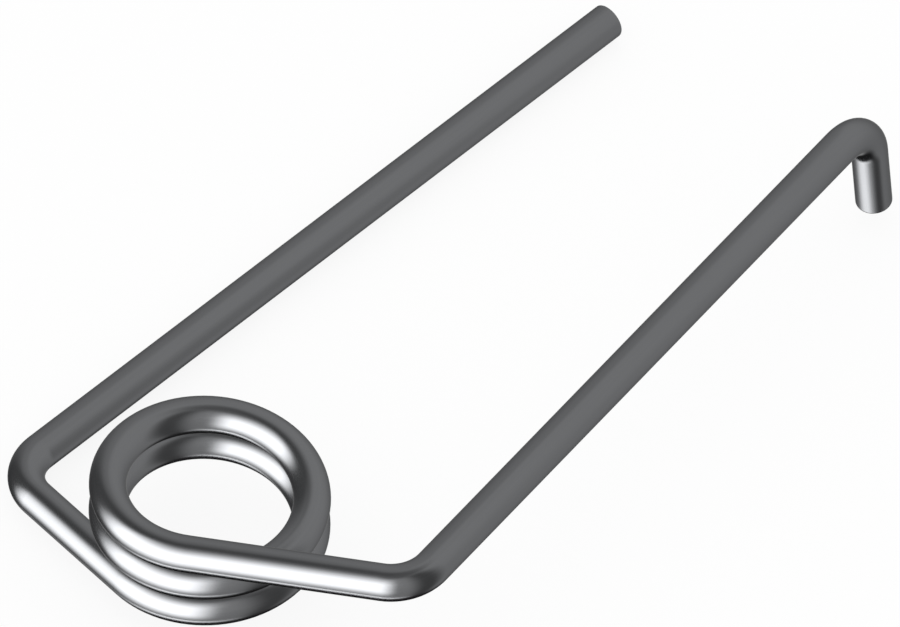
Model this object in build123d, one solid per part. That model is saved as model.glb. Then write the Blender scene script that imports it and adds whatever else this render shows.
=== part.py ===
"""Torsion spring bent from one length of round spring wire.

The wire is wound into a close coil. At each end of the coil it runs off straight, keeping
the coil's own slope, as a short arm. An elbow turns each arm into a long leg, and both legs
run the same way, to one side of the coil. The lower leg ends square and plain. The upper leg
ends in a short hook, bent down a little short of square.

Frame, in millimetres: +Z is the coil's axis, and the origin is on it, half way up the coil.
+X is the way the lower leg runs. The coil is right handed.
"""
from build123d import *
import os
from math import asin, cos, pi, radians, sin, tan

QUARTER_TURN = 90.0

# Wire
WIRE_DIAMETER = 2.5
END_BREAK = 0.1  # chamfer that deburring leaves round each cut end

# Coil
COIL_OUTER_DIAMETER = 16.0
TURNS = 2.106
TURN_GAP = 0.05  # air between neighbouring turns, square to the wire
COIL_ARCS = 34  # round arcs that follow the helix to well under 0.001

# Every bend, measured on the wire's centre line
BEND_RADIUS = 3.25

# Lower leg: runs between the coil's tangent point, the sharp corner and the cut end.
# A bend's angle is the one that the wire turns through, in degrees.
LOWER_ARM = 12.7
LOWER_ELBOW_ANGLE = 82.5
LOWER_LEG = 57.8

# Upper leg: the same, with the hook after it
UPPER_ARM = 15.3
UPPER_ELBOW_ANGLE = 66.4
UPPER_LEG = 50.8
HOOK_ANGLE = 87.0
HOOK_LENGTH = 8.3

# Side of the hook's cut end where the wire's seam starts: from there it follows the wire
# round to the inside of the coil, which keeps the mesh light
SEAM_SIDE = (-1, 2, 0)

# Worked out from the sizes above
WIRE_RADIUS = WIRE_DIAMETER / 2
COIL_RADIUS = (COIL_OUTER_DIAMETER - WIRE_DIAMETER) / 2
HELIX_SLOPE = asin((WIRE_DIAMETER + TURN_GAP) / (2 * pi * COIL_RADIUS))
PITCH = 2 * pi * COIL_RADIUS * tan(HELIX_SLOPE)
COIL_RISE = TURNS * PITCH
COIL_START_ANGLE = QUARTER_TURN + LOWER_ELBOW_ANGLE  # sends the lower leg along +X
ARC_ANGLE = TURNS * 360 / COIL_ARCS
ARC_RISE = COIL_RISE / COIL_ARCS


def coil_centre_line() -> list[Edge]:
    """Return the coil from the lower leg up: equal round arcs, each tangent to the next.

    Arcs in place of one helix keep every face of the wire a true torus or cylinder.
    """
    start = Vector(COIL_RADIUS, 0, 0)
    end = start.rotate(Axis.Z, ARC_ANGLE) + Vector(0, 0, ARC_RISE)
    along = Vector(0, 2 * COIL_RADIUS * tan(radians(ARC_ANGLE / 2)), ARC_RISE)
    arc = Edge.make_tangent_arc(start, along, end)
    return [
        Pos(0, 0, k * ARC_RISE - COIL_RISE / 2) * Rot(0, 0, COIL_START_ANGLE + k * ARC_ANGLE) * arc
        for k in range(COIL_ARCS)
    ]


def inward(point: Vector) -> Vector:
    """Return the level direction from a point to the coil's axis."""
    return Vector(-point.X, -point.Y, 0).normalized()


def bent(along: Vector, towards: Vector, angle: float) -> Vector:
    """Return a run's direction after the wire bends towards a direction square to it."""
    return along * cos(radians(angle)) + towards * sin(radians(angle))


def lower_centre_line(start: Vector, along: Vector) -> Wire:
    """Return the lower arm and leg, from the coil out to the plain cut end."""
    elbow = start + along * LOWER_ARM
    leg = bent(along, inward(start), LOWER_ELBOW_ANGLE)
    return FilletPolyline(start, elbow, elbow + leg * LOWER_LEG, radius=BEND_RADIUS)


def upper_centre_line(start: Vector, along: Vector) -> Wire:
    """Return the upper arm, leg and hook, from the coil out to the hook's cut end."""
    elbow = start + along * UPPER_ARM
    leg = bent(along, inward(start), UPPER_ELBOW_ANGLE)
    down = inward(start).cross(along)
    hook_corner = elbow + leg * UPPER_LEG
    tip = hook_corner + bent(leg, down, HOOK_ANGLE) * HOOK_LENGTH
    return FilletPolyline(start, elbow, hook_corner, tip, radius=BEND_RADIUS)


def wire_centre_line() -> Wire:
    """Return the whole wire's centre line, from the hook's cut end to the lower leg's."""
    coil = coil_centre_line()
    lower = lower_centre_line(coil[0] @ 0, -(coil[0] % 0))
    upper = upper_centre_line(coil[-1] @ 1, coil[-1] % 1)
    return Wire(lower.edges() + coil + upper.edges())


def spring_wire() -> Part:
    """Return the spring as one solid: the wire's section swept along its centre line."""
    path = wire_centre_line()
    section = Plane(path @ 0, x_dir=SEAM_SIDE, z_dir=path % 0) * Circle(WIRE_RADIUS)
    wire = sweep(section, path=path)
    cut_ends = wire.faces().filter_by(GeomType.PLANE)
    return chamfer(cut_ends.edges(), END_BREAK)


def main() -> None:
    """Write the spring's STEP file."""
    os.makedirs("parts", exist_ok=True)
    export_step(spring_wire(), "parts/spring_wire.step")


main()
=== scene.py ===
"""Bright drawn torsion spring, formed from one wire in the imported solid's place.

The wire is made as a spring maker makes it: fed out straight, bent round pins, wound up the
coil, and cropped and deburred at both ends. Everything is in metres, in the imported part's own
frame: +Z is the coil's axis and +X is the way the lower leg runs.
"""
import logging
import math
from dataclasses import dataclass
from enum import Enum

import bmesh
import bpy
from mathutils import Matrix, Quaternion, Vector


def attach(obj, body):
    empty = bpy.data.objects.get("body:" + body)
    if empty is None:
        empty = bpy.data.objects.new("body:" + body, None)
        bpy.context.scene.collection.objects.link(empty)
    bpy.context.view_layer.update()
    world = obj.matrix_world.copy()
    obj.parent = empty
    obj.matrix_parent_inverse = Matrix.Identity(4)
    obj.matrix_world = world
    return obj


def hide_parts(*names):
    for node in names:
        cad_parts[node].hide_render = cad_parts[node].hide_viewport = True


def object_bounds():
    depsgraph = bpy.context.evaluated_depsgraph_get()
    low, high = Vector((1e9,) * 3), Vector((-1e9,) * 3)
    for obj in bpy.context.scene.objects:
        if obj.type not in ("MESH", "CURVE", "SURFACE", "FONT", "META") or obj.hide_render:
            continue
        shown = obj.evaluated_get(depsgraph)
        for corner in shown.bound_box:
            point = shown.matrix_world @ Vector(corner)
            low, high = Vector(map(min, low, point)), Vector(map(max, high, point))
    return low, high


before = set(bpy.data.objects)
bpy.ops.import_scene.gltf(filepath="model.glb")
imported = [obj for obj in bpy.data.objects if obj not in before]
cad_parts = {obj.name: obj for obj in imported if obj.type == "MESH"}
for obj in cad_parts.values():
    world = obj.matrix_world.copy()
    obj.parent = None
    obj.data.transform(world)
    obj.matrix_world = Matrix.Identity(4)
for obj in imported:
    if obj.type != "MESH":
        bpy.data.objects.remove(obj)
CAD_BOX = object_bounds()

LOG = logging.getLogger("torsion_spring")
MM = 0.001
UP = Vector((0, 0, 1))
QUARTER_TURN = math.pi / 2
SMOOTH_BELOW = math.radians(35)  # edges that turn more than this stay sharp
NOISE_MIDDLE = 0.5  # the level that a Noise texture wavers about
MIX_A, MIX_B, MIX_RESULT = 6, 7, 2  # where a Mix node keeps its colour sockets
ALL_ROUND = 300  # the half width, in degrees, of a zone that leaves out no side of the tent


class Op(Enum):
    """The Math node operations that shader expressions use."""

    ADD = "ADD"
    SUBTRACT = "SUBTRACT"
    MULTIPLY = "MULTIPLY"
    SINE = "SINE"
    COSINE = "COSINE"
    ARCSINE = "ARCSINE"
    ARCTAN2 = "ARCTAN2"
    ABSOLUTE = "ABSOLUTE"


class NodeKit:
    """Adds nodes to one node tree."""

    def __init__(self, tree: bpy.types.NodeTree) -> None:
        """Take over a tree and empty it.

        Args:
            tree: The material's or world's node tree.
        """
        self.tree = tree
        tree.nodes.clear()

    def node(self, kind: str, settings: dict | None = None, **sockets: object) -> bpy.types.Node:
        """Add one node, with its settings first and then its sockets.

        Args:
            kind: The node's type.
            settings: The node's own settings by name.
            **sockets: A value or a link for each input, by the input's name with _ for spaces.

        Returns:
            The new node.
        """
        node = self.tree.nodes.new(kind)
        for name, value in (settings or {}).items():
            setattr(node, name, value)
        for name, value in sockets.items():
            self.fill(node.inputs[name.replace("_", " ")], value)
        return node

    def fill(self, socket: bpy.types.NodeSocket, value: object) -> None:
        """Give an input a link or a plain value.

        Args:
            socket: The input to fill.
            value: A shader value or an output to link, or else a number, colour or vector.
        """
        source = value.socket if isinstance(value, Shade) else value
        if isinstance(source, bpy.types.NodeSocket):
            self.tree.links.new(source, socket)
        else:
            socket.default_value = source

    def value(self, kind: str, output: str, settings: dict | None = None,
              **sockets: object) -> "Shade":
        """Add a node and return one of its outputs as a shader value.

        Args:
            kind: The node's type.
            output: The output's name.
            settings: The node's own settings by name.
            **sockets: A value or a link for each input.

        Returns:
            The output, ready for Python maths.
        """
        return Shade(self, self.node(kind, settings, **sockets).outputs[output])

    def maths(self, op: Op, *values: "Shade | float") -> "Shade":
        """Add one Math node.

        Args:
            op: What the node does.
            *values: Its inputs, in order.

        Returns:
            The node's output.
        """
        node = self.node("ShaderNodeMath", {"operation": op.value})
        for socket, value in zip(node.inputs, values):
            self.fill(socket, value)
        return Shade(self, node.outputs[0])


class Shade:
    """A value in a shader, on which Python's operators add Math nodes."""

    def __init__(self, kit: NodeKit, socket: bpy.types.NodeSocket) -> None:
        """Wrap an output.

        Args:
            socket: The output.
        """
        self.kit, self.socket = kit, socket

    def __add__(self, other: "Shade | float") -> "Shade":
        """Return self + other."""
        return self.kit.maths(Op.ADD, self, other)

    def __radd__(self, other: float) -> "Shade":
        """Return other + self."""
        return self.kit.maths(Op.ADD, other, self)

    def __sub__(self, other: "Shade | float") -> "Shade":
        """Return self - other."""
        return self.kit.maths(Op.SUBTRACT, self, other)

    def __rsub__(self, other: float) -> "Shade":
        """Return other - self."""
        return self.kit.maths(Op.SUBTRACT, other, self)

    def __mul__(self, other: "Shade | float") -> "Shade":
        """Return self * other."""
        return self.kit.maths(Op.MULTIPLY, self, other)

    def __rmul__(self, other: float) -> "Shade":
        """Return other * self."""
        return self.kit.maths(Op.MULTIPLY, other, self)

    def __abs__(self) -> "Shade":
        """Return abs(self)."""
        return self.kit.maths(Op.ABSOLUTE, self)

    def step(self, low: float, high: float) -> "Shade":
        """Rise smoothly from 0 at low to 1 at high.

        Args:
            low: The value at which the step starts.
            high: The value at which it ends, which may be less than low.

        Returns:
            The step, from 0 to 1.
        """
        return self.kit.value("ShaderNodeMapRange", "Result",
                              {"interpolation_type": "SMOOTHSTEP"},
                              Value=self, From_Min=low, From_Max=high)


def new_material(name: str) -> tuple[bpy.types.Material, NodeKit]:
    """Make an empty node material.

    Args:
        name: The material's name.
    """
    material = bpy.data.materials.new(name)
    material.use_nodes = True
    return material, NodeKit(material.node_tree)


def grey(level: float) -> tuple[float, float, float, float]:
    """Return the neutral colour of a level."""
    return level, level, level, 1.0


@dataclass(frozen=True)
class DrawnSteel:
    """Bright hard-drawn spring steel: fine die lines along the wire, and cropped ends."""

    colour: tuple[float, float, float] = (0.295, 0.30, 0.31)
    roughness: float = 0.20
    edge_tint: float = 0.50  # how much of its mirror the metal keeps at a grazing angle
    line_width: float = 0.10 * MM  # one die line, across the wire
    line_length: float = 9.0 * MM
    line_tone: float = 0.10  # how far die lines change the colour, as a share
    line_roughness: float = 0.07
    line_depth: float = 0.0012 * MM
    haze_size: float = 6.0 * MM  # patches left by lubricant and handling
    haze_tone: float = 0.05
    haze_roughness: float = 0.05
    grain_size: float = 0.05 * MM
    grain_roughness: float = 0.05
    worked_roughness: float = 0.04  # taken off where the bending pin has rubbed the wire
    cropped_colour: tuple[float, float, float] = (0.33, 0.33, 0.34)
    cropped_roughness: float = 0.42

    def material(self, wire_radius: float) -> bpy.types.Material:
        """Make the wire's material.

        Args:
            wire_radius: The wire's radius, in metres.

        Returns:
            The material, which reads the wire's own UV map and attributes.
        """
        material, kit = new_material("drawn_spring_steel")
        place = kit.node("ShaderNodeTexCoord")
        uv = kit.node("ShaderNodeSeparateXYZ", Vector=place.outputs["UV"])
        around = math.tau * Shade(kit, uv.outputs["X"])
        along = Shade(kit, uv.outputs["Y"])
        radius_in_lines = wire_radius / self.line_width
        lines_at = kit.node("ShaderNodeCombineXYZ",
                            X=kit.maths(Op.COSINE, around) * radius_in_lines,
                            Y=kit.maths(Op.SINE, around) * radius_in_lines,
                            Z=along * (1 / self.line_length))
        lines = kit.value("ShaderNodeTexNoise", "Fac", Vector=lines_at.outputs[0],
                          Scale=1.0, Detail=3.0, Roughness=0.6)
        haze = kit.value("ShaderNodeTexNoise", "Fac", Vector=place.outputs["Object"],
                         Scale=1 / self.haze_size, Detail=3.0, Roughness=0.55)
        grain = kit.value("ShaderNodeTexNoise", "Fac", Vector=place.outputs["Object"],
                          Scale=1 / self.grain_size, Detail=1.0)
        worked = kit.value("ShaderNodeAttribute", "Fac", {"attribute_name": "worked"})
        cropped = kit.value("ShaderNodeAttribute", "Fac", {"attribute_name": "cropped"})
        line, patch, speck = lines - NOISE_MIDDLE, haze - NOISE_MIDDLE, grain - NOISE_MIDDLE
        tone = 1 + line * self.line_tone + patch * self.haze_tone
        steel = kit.node("ShaderNodeVectorMath", {"operation": "SCALE"},
                         Vector=self.colour, Scale=tone)
        colour = kit.node("ShaderNodeMix", {"data_type": "RGBA"}, Factor=cropped)
        kit.fill(colour.inputs[MIX_A], steel.outputs[0])
        kit.fill(colour.inputs[MIX_B], (*self.cropped_colour, 1))
        drawn = (self.roughness + line * self.line_roughness + patch * self.haze_roughness
                 + speck * self.grain_roughness - worked * self.worked_roughness)
        roughness = drawn * (1 - cropped) + cropped * self.cropped_roughness
        bump = kit.node("ShaderNodeBump", Height=lines, Distance=self.line_depth, Strength=1.0)
        surface = kit.node("ShaderNodeBsdfPrincipled", Base_Color=colour.outputs[MIX_RESULT],
                           Metallic=1.0, Roughness=roughness, Normal=bump.outputs[0],
                           Specular_Tint=grey(self.edge_tint))
        kit.node("ShaderNodeOutputMaterial", Surface=surface.outputs[0])
        return material


@dataclass
class Ring:
    """One ring of the wire's mesh."""

    station: float  # how far along the wire it is
    worked: float = 0.0  # how far a bending pin has rubbed it, from 0 to 1
    cropped: float = 0.0  # 1 where it edges a cropped face


class WireFormer:
    """Forms one round wire as a bench former does: it feeds straight and bends round pins."""

    def __init__(self, name: str, start: Vector, along: Vector, radius: float, edge_break: float,
                 facets: int = 72) -> None:
        """Crop the first end and start the wire there, with its edge broken.

        Args:
            name: The wire object's name.
            start: The centre of the cropped end.
            along: The way the wire runs from there.
            radius: The wire's radius.
            edge_break: How far deburring has rounded the end's edge.
            facets: The flats round the wire.
        """
        self.tip, self.along, self.radius = start.copy(), along.normalized(), radius
        self.edge_break, self.facets = edge_break, facets
        self.rings = [Ring(station=0.0, cropped=1.0)]
        bpy.ops.object.select_all(action="DESELECT")
        bpy.ops.mesh.primitive_circle_add(
            vertices=facets, radius=radius - edge_break, location=start,
            rotation=self.along.to_track_quat("Z", "Y").to_euler())
        self.wire = bpy.context.object
        self.wire.name = name
        bpy.ops.object.mode_set(mode="EDIT")
        bpy.ops.mesh.select_mode(type="EDGE")
        bpy.ops.mesh.select_all(action="SELECT")
        self.round_edge(opening=True)

    def note_ring(self, distance: float, worked: float = 0.0) -> None:
        """Note a ring that has just been added.

        Args:
            distance: How far along the wire it is from the last one.
            worked: How far a bending pin has rubbed the wire there, from 0 to 1.
        """
        self.rings.append(Ring(self.rings[-1].station + distance, worked))

    def extrude(self, distance: float) -> None:
        """Carry the open ring straight on.

        Args:
            distance: How far to carry it.
        """
        step = self.along * distance
        bpy.ops.mesh.extrude_region_move(TRANSFORM_OT_translate={"value": step})
        self.tip += step
        self.note_ring(distance)

    def round_edge(self, opening: bool, steps: int = 4) -> None:
        """Round the edge of a cropped end in short rings.

        Args:
            opening: Whether the wire swells out of its first end, or closes at its last.
            steps: The rings in the rounding.
        """
        turns = [i / steps * QUARTER_TURN for i in range(steps + 1)]
        profile = [(self.edge_break * (1 - math.cos(turn)), self.edge_break * (1 - math.sin(turn)))
                   for turn in turns]
        if not opening:
            profile = [(self.edge_break - depth, inset) for depth, inset in reversed(profile)]
        for (depth, inset), (next_depth, next_inset) in zip(profile, profile[1:]):
            self.extrude(next_depth - depth)
            scale = (self.radius - next_inset) / (self.radius - inset)
            bpy.ops.transform.resize(value=(scale,) * 3, center_override=self.tip)

    def feed(self, length: float, step: float = 2.0 * MM, guard: float = 0.05 * MM) -> None:
        """Feed wire out straight, with a guard ring close to each end to keep it shaded flat.

        Args:
            length: How much wire to feed.
            step: The longest run between two rings.
            guard: How far the guard rings are from the ends.
        """
        inner = length - 2 * guard
        count = math.ceil(inner / step)
        for run in (guard, *(inner / count,) * count, guard):
            self.extrude(run)

    def bend(self, direction: Vector, radius: float, step: float, worked: float) -> None:
        """Bend the wire round a pin until it runs a new way.

        Args:
            direction: The way the wire runs after the bend.
            radius: The bend's radius at the wire's centre.
            step: The largest turn between two rings, in radians.
            worked: How far the pin rubs the wire at the bend's middle, from 0 to 1.
        """
        direction = direction.normalized()
        axis = self.along.cross(direction).normalized()
        angle = self.along.angle(direction)
        pin = self.tip + axis.cross(self.along) * radius
        count = math.ceil(angle / step)
        bpy.ops.mesh.spin(steps=count, angle=angle, center=pin, axis=-axis)
        for i in range(count):
            rub = math.sin((i + 1) / count * math.pi)  # most at the bend's middle
            self.note_ring(radius * angle / count, worked * rub)
        self.tip = pin + Quaternion(axis, angle) @ (self.tip - pin)
        self.along = direction

    def crop(self) -> bpy.types.Object:
        """Crop and deburr the last end, close both ends and map the surface.

        Returns:
            The finished wire, with its place in its mesh.
        """
        self.round_edge(opening=False)
        self.rings[-1].cropped = 1.0
        bpy.ops.mesh.edge_face_add()  # closes the last ring, which is still selected
        bpy.ops.mesh.select_all(action="DESELECT")
        bpy.ops.object.mode_set(mode="OBJECT")
        mesh = self.wire.data
        for vertex in mesh.vertices[:self.facets]:
            vertex.select = True
        for edge in mesh.edges:
            edge.select = all(i < self.facets for i in edge.vertices)
        bpy.ops.object.mode_set(mode="EDIT")
        bpy.ops.mesh.edge_face_add()  # closes the first ring
        bpy.ops.mesh.select_all(action="SELECT")
        bpy.ops.mesh.normals_make_consistent(inside=False)
        bpy.ops.object.mode_set(mode="OBJECT")
        bpy.ops.object.transform_apply(location=True, rotation=True, scale=True)
        self.order_faces()
        bpy.ops.object.shade_smooth_by_angle(angle=SMOOTH_BELOW)
        self.map_surface()
        return self.wire

    def order_faces(self) -> None:
        """List the faces along the wire, because extruding leaves their order to chance."""
        body = bmesh.new()
        body.from_mesh(self.wire.data)
        count = len(body.verts)
        body.faces.sort(key=lambda face: min(corner.index for corner in face.verts) * count
                        + max(corner.index for corner in face.verts))
        body.to_mesh(self.wire.data)
        body.free()

    def map_surface(self) -> None:
        """Write the UV map, round and along the wire, and the worked and cropped attributes."""
        mesh = self.wire.data
        if len(mesh.vertices) != len(self.rings) * self.facets:
            raise ValueError("the wire's rings don't match its mesh")
        for name in ("worked", "cropped"):
            attribute = mesh.attributes.new(name, "FLOAT", "POINT")
            for i, item in enumerate(attribute.data):
                item.value = getattr(self.rings[i // self.facets], name)
        mapped = mesh.uv_layers.active or mesh.uv_layers.new(name="wire")
        for face in mesh.polygons:
            clocks = [mesh.loops[i].vertex_index % self.facets for i in face.loop_indices]
            is_side = len(clocks) < self.facets  # the other two are the cropped faces
            closes_ring = is_side and max(clocks) - min(clocks) > 1
            for i, clock in zip(face.loop_indices, clocks):
                turn = self.facets if closes_ring and clock == 0 else 0
                ring = self.rings[mesh.loops[i].vertex_index // self.facets]
                mapped.data[i].uv = ((clock + turn) / self.facets, ring.station)


@dataclass
class TorsionSpring:
    """The spring: one wire with a close coil, two arms, two legs and a hook.

    The runs are measured on the centre line, between the coil's ends, the bends' sharp
    corners and the cut ends. A bend's angle is the one that the wire turns through.
    """

    wire_diameter: float = 2.5 * MM
    edge_break: float = 0.1 * MM
    coil_diameter: float = 16.0 * MM  # outside
    turns: float = 2.106
    turn_gap: float = 0.05 * MM  # air between neighbouring turns, square to the wire
    coil_arcs: int = 34  # round arcs that follow the helix
    bend_radius: float = 3.25 * MM
    lower_arm: float = 12.7 * MM
    lower_elbow: float = math.radians(82.5)
    lower_leg: float = 57.8 * MM
    upper_arm: float = 15.3 * MM
    upper_elbow: float = math.radians(66.4)
    upper_leg: float = 50.8 * MM
    hook_angle: float = math.radians(87)
    hook_length: float = 8.3 * MM
    coil_step: float = math.radians(3.8)  # the largest turn between two rings of the mesh
    bend_step: float = math.radians(4.0)

    def __post_init__(self) -> None:
        """Work out the other sizes from the driving ones."""
        self.wire_radius = self.wire_diameter / 2
        self.coil_radius = (self.coil_diameter - self.wire_diameter) / 2
        girth = math.tau * self.coil_radius
        slope = math.asin((self.wire_diameter + self.turn_gap) / girth)
        self.rise = self.turns * girth * math.tan(slope)
        self.arc_angle = math.tau * self.turns / self.coil_arcs

    def coil_point(self, arc: int) -> Vector:
        """Return the point on the coil's centre line where an arc starts.

        Args:
            arc: The arc's number, counted up from the lower leg.

        Returns:
            The point.
        """
        azimuth = QUARTER_TURN + self.lower_elbow + arc * self.arc_angle
        height = (arc / self.coil_arcs - 0.5) * self.rise
        return Vector((self.coil_radius * math.cos(azimuth),
                       self.coil_radius * math.sin(azimuth), height))

    def coil_direction(self, arc: int) -> Vector:
        """Return the way the wire runs up the coil where an arc starts.

        Args:
            arc: The arc's number, counted up from the lower leg.

        Returns:
            The direction.
        """
        level_run = 2 * self.coil_radius * math.tan(self.arc_angle / 2)
        level = self.inward(arc).cross(UP)
        return (level * level_run + UP * (self.rise / self.coil_arcs)).normalized()

    def inward(self, arc: int) -> Vector:
        """Return the level direction from an arc's start to the coil's axis."""
        point = self.coil_point(arc)
        return Vector((-point.x, -point.y, 0)).normalized()

    @staticmethod
    def bent(along: Vector, towards: Vector, angle: float) -> Vector:
        """Return a run's direction after a bend towards a direction square to it."""
        return along * math.cos(angle) + towards * math.sin(angle)

    def setback(self, angle: float) -> float:
        """Return the length that a bend takes off each run beside it."""
        return self.bend_radius * math.tan(angle / 2)

    def build(self) -> bpy.types.Object:
        """Form the wire from the lower leg's cropped end to the hook's.

        Returns:
            The wire.
        """
        top = self.coil_arcs
        into_coil, out_of_coil = self.coil_direction(0), self.coil_direction(top)
        lower_leg = self.bent(-into_coil, self.inward(0), self.lower_elbow)
        upper_leg = self.bent(out_of_coil, self.inward(top), self.upper_elbow)
        down = self.inward(top).cross(out_of_coil)
        hook = self.bent(upper_leg, down, self.hook_angle)
        end = self.coil_point(0) - into_coil * self.lower_arm + lower_leg * self.lower_leg
        former = WireFormer("spring_wire_drawn", end, -lower_leg, self.wire_radius,
                            self.edge_break)
        former.feed(self.lower_leg - self.setback(self.lower_elbow) - self.edge_break)
        former.bend(into_coil, self.bend_radius, self.bend_step, worked=1.0)
        former.feed(self.lower_arm - self.setback(self.lower_elbow))
        self.wind(former)
        former.feed(self.upper_arm - self.setback(self.upper_elbow))
        former.bend(upper_leg, self.bend_radius, self.bend_step, worked=1.0)
        former.feed(self.upper_leg - self.setback(self.upper_elbow)
                    - self.setback(self.hook_angle))
        former.bend(hook, self.bend_radius, self.bend_step, worked=1.0)
        former.feed(self.hook_length - self.setback(self.hook_angle) - self.edge_break)
        return former.crop()

    def wind(self, former: WireFormer) -> None:
        """Wind the coil, arc after arc, each tangent to the next.

        Args:
            former: The former, with its wire's tip at the coil's foot.
        """
        chord = (self.coil_point(1) - self.coil_point(0)).length
        turn = self.coil_direction(0).angle(self.coil_direction(1))
        radius = chord / 2 / math.sin(turn / 2)
        for arc in range(1, self.coil_arcs + 1):
            former.bend(self.coil_direction(arc), radius, self.coil_step, worked=0.0)

    def dress(self, wire: bpy.types.Object) -> None:
        """Give the wire its finish and its place in the frame.

        Args:
            wire: The wire.
        """
        wire.data.materials.append(DrawnSteel().material(self.wire_radius))
        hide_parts("spring_wire")
        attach(wire, "root")
        wire.visible_glossy = False  # mirrors the tent alone, with no streak of its other runs


@dataclass(frozen=True)
class Zone:
    """A lamp or a cloth in the light tent, placed in degrees as the spring sees it."""

    name: str
    azimuth: float  # of its middle, to the camera's right
    elevation: float  # of its middle, up from level
    half_width: float
    half_height: float
    soft_width: float  # how far its sides blur, each way
    soft_height: float
    level: float  # how bright it is, where 1 is white


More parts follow.
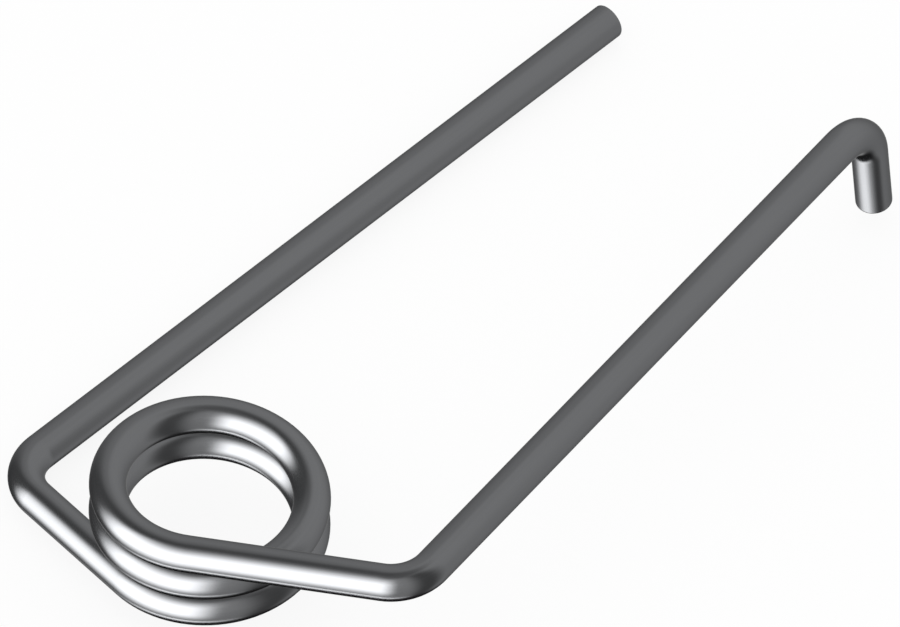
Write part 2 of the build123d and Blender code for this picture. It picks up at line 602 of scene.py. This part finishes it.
@dataclass
class Studio:
    """Pale floor in a white room, and the light tent that the wire mirrors."""

    front: float  # the camera's azimuth, in radians
    tent_radius: float = 0.4
    tent_segments: int = 64
    tent_rings: int = 32
    tent_level: float = 0.50  # how bright the tent is outside its zones
    floor_albedo: float = 0.95
    floor_size: float = 3.0
    shadow_share: float = 0.12  # how much of the floor's shadow the camera sees
    zones: tuple[Zone, ...] = (  # in Zone's own order; each covers part of the ones before it
        Zone("dim foot", 0, -90, ALL_ROUND, 90, 10, 25, 0.45),
        Zone("dim roof", 0, 90, ALL_ROUND, 20, 10, 10, 0.20),
        Zone("pale cloth behind", -140, -10, 10, 55, 30, 5, 1.4),
        Zone("dark cloth back left", -125, 15, 40, 70, 35, 5, 0.13),
        Zone("dark cloth front right", 55, -10, 20, 80, 15, 5, 0.13),
        Zone("dark pit", 0, -90, ALL_ROUND, 30, 10, 10, 0.04),
        Zone("strip light", -40, -60, 50, 5, 45, 5, 3.6),
        Zone("soft box", -50, 10, 45, 40, 15, 25, 3.8),
    )

    def build(self) -> None:
        """Set up the floor, the tent and the world."""
        self.add_floor()
        self.add_tent()
        self.light_world()

    def add_floor(self) -> None:
        """Lay the floor just under the spring."""
        bpy.ops.object.select_all(action="DESELECT")
        bpy.ops.mesh.primitive_plane_add(size=self.floor_size, location=(0, 0, CAD_BOX[0].z))
        floor = bpy.context.object
        floor.name = "floor"
        material, kit = new_material("pale_floor")
        rays = kit.node("ShaderNodeLightPath")
        camera, glossy, transmission = (Shade(kit, rays.outputs[f"Is {kind} Ray"])
                                        for kind in ("Camera", "Glossy", "Transmission"))
        paper = kit.node("ShaderNodeBsdfDiffuse", Color=grey(self.floor_albedo))
        white = kit.node("ShaderNodeEmission", Strength=1.0)
        mix = kit.node("ShaderNodeMixShader",
                       Fac=(camera + glossy + transmission) * (1 - self.shadow_share))
        _, first, second = mix.inputs
        kit.fill(first, paper.outputs[0])
        kit.fill(second, white.outputs[0])
        kit.node("ShaderNodeOutputMaterial", Surface=mix.outputs[0])
        floor.data.materials.append(material)
        floor.visible_glossy = False  # the wire mirrors the tent in its place

    def add_tent(self) -> None:
        """Put the light tent over the spring."""
        bpy.ops.object.select_all(action="DESELECT")
        bpy.ops.mesh.primitive_uv_sphere_add(segments=self.tent_segments,
                                             ring_count=self.tent_rings,
                                             radius=self.tent_radius)
        tent = bpy.context.object
        tent.name = "light_tent"
        material, kit = new_material("tent_cloth")
        place = kit.node("ShaderNodeTexCoord")
        way = kit.node("ShaderNodeSeparateXYZ", Vector=place.outputs["Object"])
        x, y, z = (Shade(kit, way.outputs[name]) for name in "XYZ")
        azimuth = kit.maths(Op.ARCTAN2, y, x)
        elevation = kit.maths(Op.ARCSINE, z * (1 / self.tent_radius))
        level = self.tent_level
        for zone in self.zones:
            level = self.add_zone(level, zone, azimuth, elevation)
        glow = kit.node("ShaderNodeEmission", Strength=level)
        kit.node("ShaderNodeOutputMaterial", Surface=glow.outputs[0])
        tent.data.materials.append(material)
        tent.visible_camera = tent.visible_diffuse = tent.visible_shadow = False

    def add_zone(self, level: Shade | float, zone: Zone, azimuth: Shade,
                 elevation: Shade) -> Shade:
        """Blend one zone into the tent's level.

        Args:
            level: The level so far.
            zone: The zone.
            azimuth: The direction's azimuth, in radians.
            elevation: Its elevation, in radians.

        Returns:
            The level with the zone in it.
        """
        kit = azimuth.kit
        turn = azimuth - (self.front + math.radians(zone.azimuth))
        # the same turn, brought to between half a turn left and half a turn right
        aside = kit.maths(Op.ARCTAN2, kit.maths(Op.SINE, turn), kit.maths(Op.COSINE, turn))
        above = elevation - math.radians(zone.elevation)
        mask = (self.within(aside, zone.half_width, zone.soft_width)
                * self.within(above, zone.half_height, zone.soft_height))
        blend = (1 - mask) * level + mask * zone.level
        blend.socket.node.label = zone.name
        return blend

    @staticmethod
    def within(off: Shade, half: float, soft: float) -> Shade:
        """Return 1 inside a span and 0 outside, with a blurred edge.

        Args:
            off: The angle from the span's middle, in radians.
            half: Half the span, in degrees.
            soft: How far its edge blurs each way, in degrees.

        Returns:
            The mask.
        """
        return abs(off).step(math.radians(half + soft), math.radians(half - soft))

    @staticmethod
    def light_world() -> None:
        """Make the room white: it shows past the floor and lights the floor evenly."""
        world = bpy.data.worlds.new("white_room")
        bpy.context.scene.world = world
        world.use_nodes = True
        kit = NodeKit(world.node_tree)
        back = kit.node("ShaderNodeBackground", Color=grey(1.0), Strength=1.0)
        kit.node("ShaderNodeOutputWorld", Surface=back.outputs[0])


@dataclass
class ProductCamera:
    """A long lens that looks down on the spring, almost without perspective."""

    azimuth: float = math.radians(-137.59)  # where the camera stands, round the coil's axis
    elevation: float = math.radians(48.164)
    roll: float = math.radians(1.565)
    lens: float = 1000.0  # in millimetres, as the sensor is
    sensor: float = 36.0
    view_width: float = 59.40 * MM  # what the frame takes in, at the target
    aim_right: float = 15.857 * MM  # from the coil's middle to the frame's
    aim_up: float = 12.722 * MM
    clip_start: float = 0.01
    clip_end: float = 100.0

    def build(self) -> None:
        """Set the camera up and make it the scene's."""
        back = Vector((math.cos(self.azimuth) * math.cos(self.elevation),
                       math.sin(self.azimuth) * math.cos(self.elevation),
                       math.sin(self.elevation)))
        turn = Quaternion(back, self.roll) @ back.to_track_quat("Z", "Y")
        right, up = turn @ Vector((1, 0, 0)), turn @ Vector((0, 1, 0))
        target = right * self.aim_right + up * self.aim_up
        distance = self.view_width * self.lens / self.sensor
        bpy.ops.object.camera_add(location=target + back * distance, rotation=turn.to_euler())
        camera = bpy.context.object
        camera.data.lens, camera.data.sensor_width = self.lens, self.sensor
        camera.data.clip_start, camera.data.clip_end = self.clip_start, self.clip_end
        bpy.context.scene.camera = camera


def main() -> None:
    """Build the scene and report each piece."""
    logging.basicConfig(level=logging.INFO, format="%(name)s: %(message)s")
    bpy.context.scene.view_settings.view_transform = "Standard"
    spring = TorsionSpring()
    wire = spring.build()
    spring.dress(wire)
    LOG.info("%s: %d faces", wire.name, len(wire.data.polygons))
    camera = ProductCamera()
    camera.build()
    Studio(front=camera.azimuth).build()
    LOG.info("floor, light tent and camera are in place")


if __name__ == "__main__":
    main()
